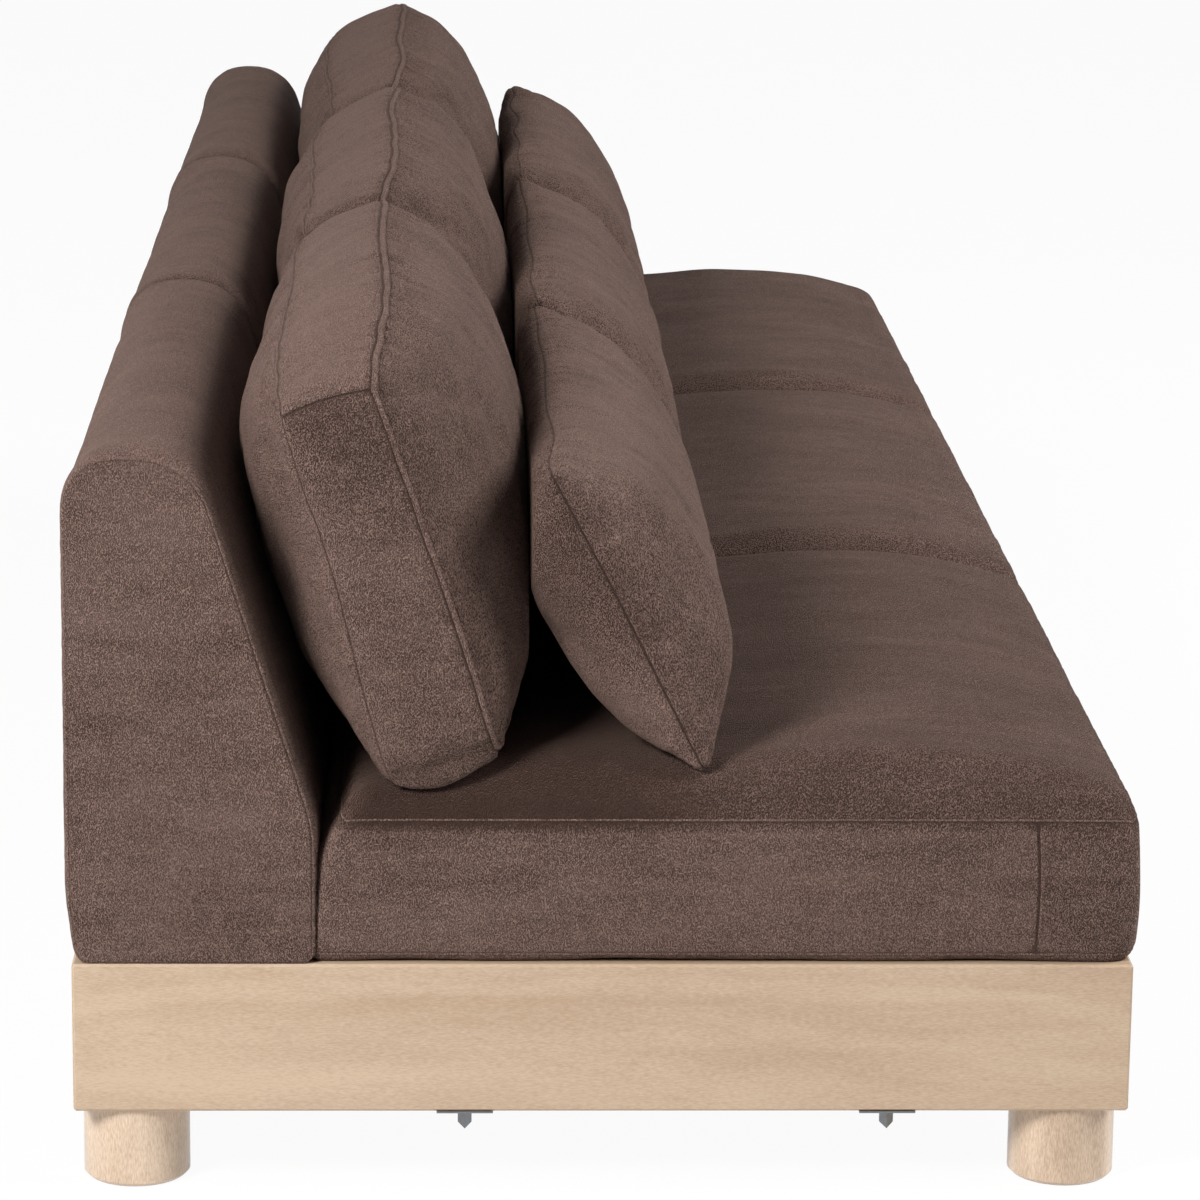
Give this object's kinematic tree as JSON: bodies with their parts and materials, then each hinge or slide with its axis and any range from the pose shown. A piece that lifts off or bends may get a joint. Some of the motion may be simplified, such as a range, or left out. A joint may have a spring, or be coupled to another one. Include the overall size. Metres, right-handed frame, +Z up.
{
  "type": "modular sofa",
  "caption": "Armless modular sofa: timber plinth modules on round legs, hooked in a row, with padded backs, loose seat cushions, leaning back cushions and lumbar pillows.",
  "frame": {"origin": "on the floor under the middle of the overall box", "axes": "+X along the row of modules towards the free socket end, +Y to the rear, +Z up"},
  "size_m": [3.0702, 1.089, 0.8793],
  "materials": {
    "velvet": "short-pile brown velvet",
    "filling": "foam and fibre",
    "plinth_timber": "pale satin maple",
    "inner_timber": "sawn softwood and plywood",
    "zinc_steel": "zinc plated"
  },
  "bodies": {
    "left_frame": {"left_rear_apron": "plinth_timber", "left_front_apron": "plinth_timber", "left_prong_end_panel": "plinth_timber", "left_socket_end_panel": "plinth_timber", "left_glue_blocks": "inner_timber", "left_legs": "plinth_timber", "left_frame_bolts": "zinc_steel", "left_deck_cleats": "inner_timber", "left_deck_slats": "inner_timber", "left_back_frame": "inner_timber", "left_connector_prongs": "zinc_steel", "left_connector_sockets": "zinc_steel", "left_connector_screws": "zinc_steel", "left_back_upholstery": "velvet"},
    "left_seat": {"left_seat_cushion": "velvet", "left_seat_foam": "filling"},
    "left_back": {"left_back_cushion": "velvet", "left_back_filling": "filling"},
    "left_pillow": {"left_lumbar_pillow": "velvet", "left_pillow_filling": "filling"},
    "middle_frame": {"middle_rear_apron": "plinth_timber", "middle_front_apron": "plinth_timber", "middle_prong_end_panel": "plinth_timber", "middle_socket_end_panel": "plinth_timber", "middle_glue_blocks": "inner_timber", "middle_legs": "plinth_timber", "middle_frame_bolts": "zinc_steel", "middle_deck_cleats": "inner_timber", "middle_deck_slats": "inner_timber", "middle_back_frame": "inner_timber", "middle_connector_prongs": "zinc_steel", "middle_connector_sockets": "zinc_steel", "middle_connector_screws": "zinc_steel", "middle_back_upholstery": "velvet"},
    "middle_seat": {"middle_seat_cushion": "velvet", "middle_seat_foam": "filling"},
    "middle_back": {"middle_back_cushion": "velvet", "middle_back_filling": "filling"},
    "middle_pillow": {"middle_lumbar_pillow": "velvet", "middle_pillow_filling": "filling"},
    "right_frame": {"right_rear_apron": "plinth_timber", "right_front_apron": "plinth_timber", "right_prong_end_panel": "plinth_timber", "right_socket_end_panel": "plinth_timber", "right_glue_blocks": "inner_timber", "right_legs": "plinth_timber", "right_frame_bolts": "zinc_steel", "right_deck_cleats": "inner_timber", "right_deck_slats": "inner_timber", "right_back_frame": "inner_timber", "right_connector_prongs": "zinc_steel", "right_connector_sockets": "zinc_steel", "right_connector_screws": "zinc_steel", "right_back_upholstery": "velvet"},
    "right_seat": {"right_seat_cushion": "velvet", "right_seat_foam": "filling"},
    "right_back": {"right_back_cushion": "velvet", "right_back_filling": "filling"},
    "right_pillow": {"right_lumbar_pillow": "velvet", "right_pillow_filling": "filling"}
  },
  "joints": [
    {"name": "left_seat_lift", "type": "slide", "parent": "left_frame", "child": "left_seat", "axis": [0, 0, 1], "range_m": [0, 0.25]},
    {"name": "left_back_lift", "type": "slide", "parent": "left_seat", "child": "left_back", "axis": [0, 0.3007, 0.9537], "range_m": [0, 0.5]},
    {"name": "left_pillow_lift", "type": "slide", "parent": "left_seat", "child": "left_pillow", "axis": [0, 0, 1], "range_m": [0, 0.45]},
    {"name": "middle_module_lift", "type": "slide", "parent": "left_frame", "child": "middle_frame", "axis": [0, 0, 1], "range_m": [0, 0.03]},
    {"name": "middle_seat_lift", "type": "slide", "parent": "middle_frame", "child": "middle_seat", "axis": [0, 0, 1], "range_m": [0, 0.25]},
    {"name": "middle_back_lift", "type": "slide", "parent": "middle_seat", "child": "middle_back", "axis": [0, 0.3007, 0.9537], "range_m": [0, 0.5]},
    {"name": "middle_pillow_lift", "type": "slide", "parent": "middle_seat", "child": "middle_pillow", "axis": [0, 0, 1], "range_m": [0, 0.45]},
    {"name": "right_module_lift", "type": "slide", "parent": "middle_frame", "child": "right_frame", "axis": [0, 0, 1], "range_m": [0, 0.03]},
    {"name": "right_seat_lift", "type": "slide", "parent": "right_frame", "child": "right_seat", "axis": [0, 0, 1], "range_m": [0, 0.25]},
    {"name": "right_back_lift", "type": "slide", "parent": "right_seat", "child": "right_back", "axis": [0, 0.3007, 0.9537], "range_m": [0, 0.5]},
    {"name": "right_pillow_lift", "type": "slide", "parent": "right_seat", "child": "right_pillow", "axis": [0, 0, 1], "range_m": [0, 0.45]}
  ]
}
